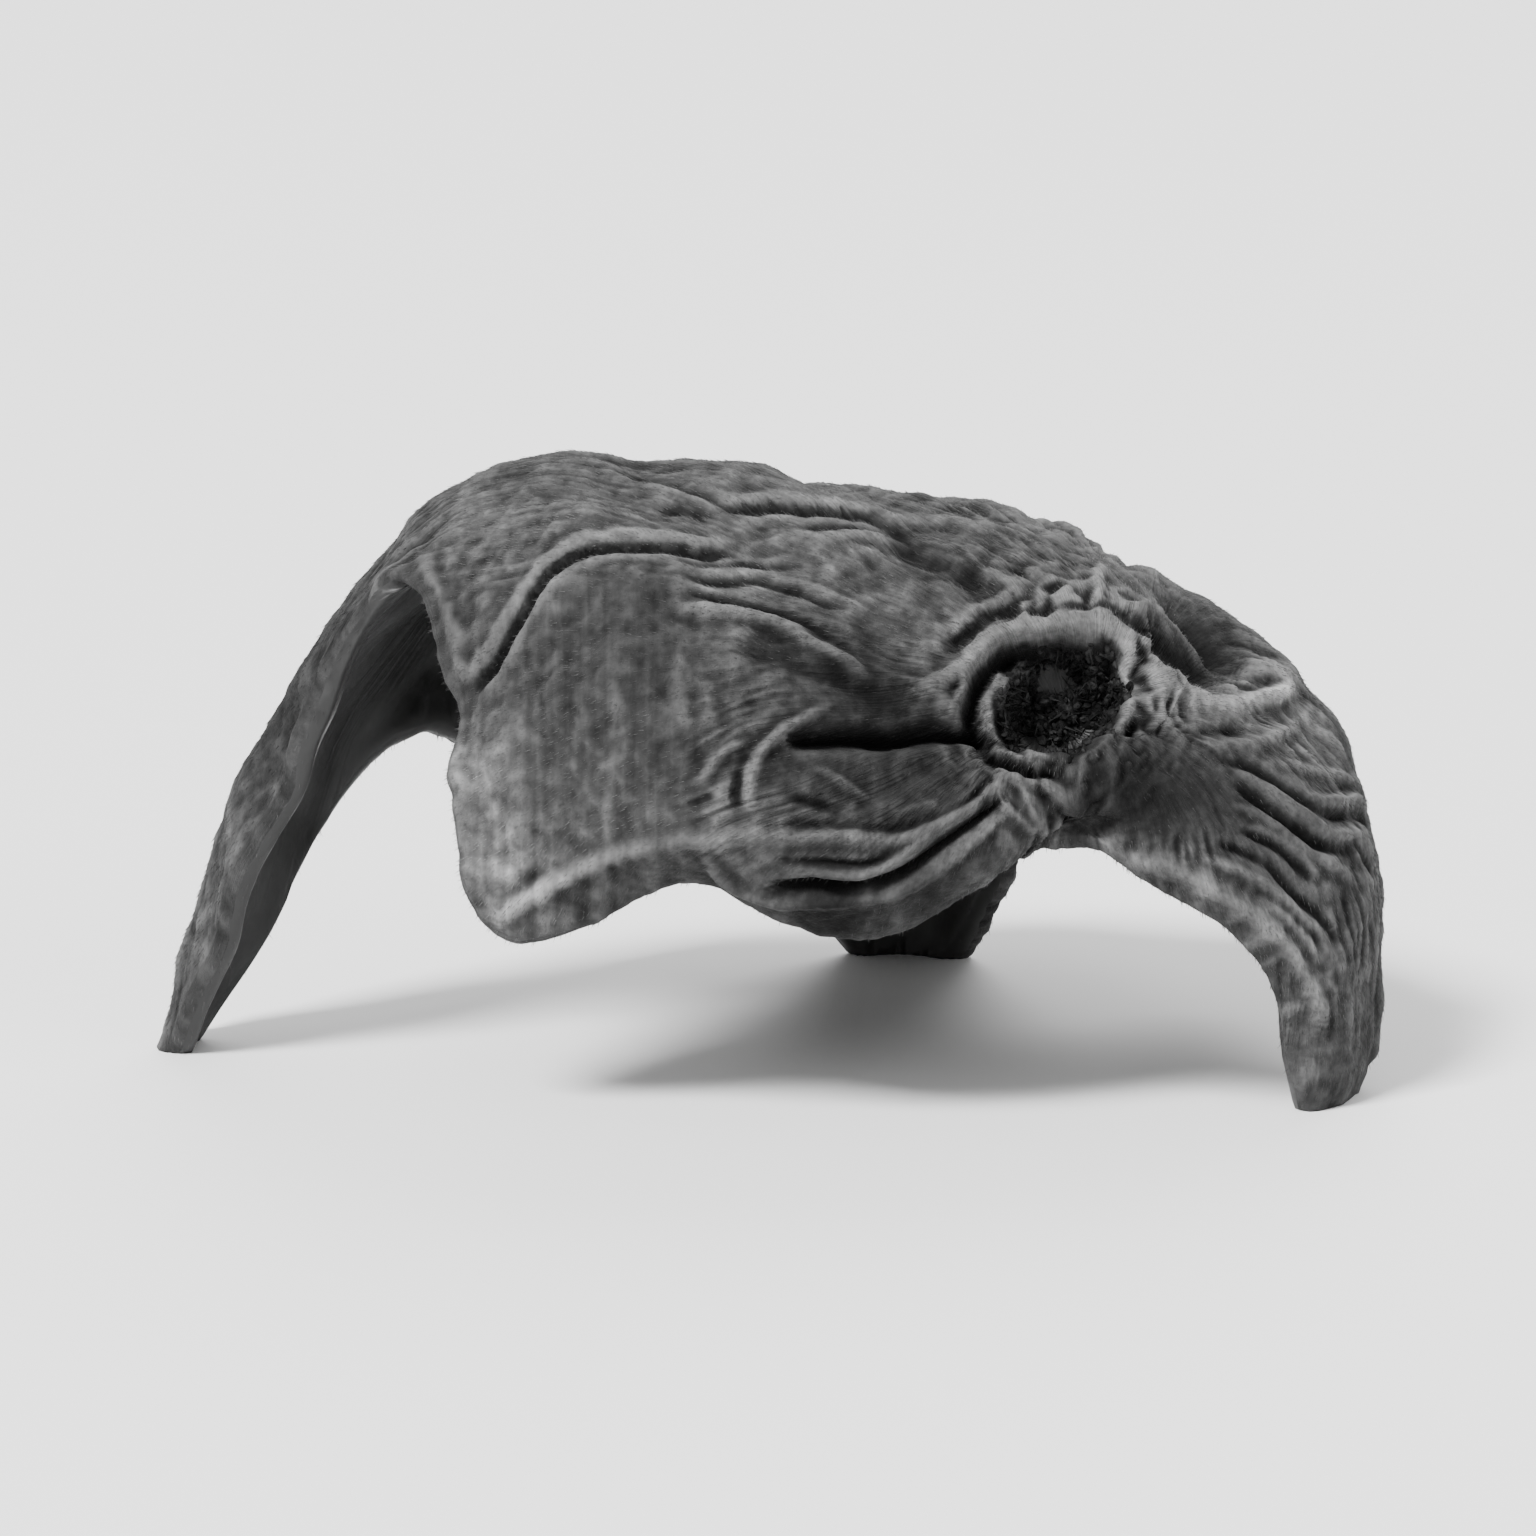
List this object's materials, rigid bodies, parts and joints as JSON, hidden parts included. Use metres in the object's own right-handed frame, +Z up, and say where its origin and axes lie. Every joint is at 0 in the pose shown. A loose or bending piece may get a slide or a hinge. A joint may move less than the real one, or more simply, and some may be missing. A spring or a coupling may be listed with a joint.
{
  "type": "dried wood ear mushroom",
  "caption": "Thin dried wood ear fungus curled into an arch, with a puckered stub scar, a wrinkled downy outer side, a smooth dark inner side and a wavy rim that it stands on.",
  "frame": {"origin": "on the surface that the ear stands on, below the middle of the ear's box", "axes": "+X from the left wing to the right limb, -Y to the front with the stub scar, +Z up"},
  "size_m": [0.0268, 0.019, 0.0135],
  "materials": {
    "dried_flesh": "matte"
  },
  "bodies": {
    "root": {"wood_ear": "dried_flesh"}
  },
  "joints": []
}
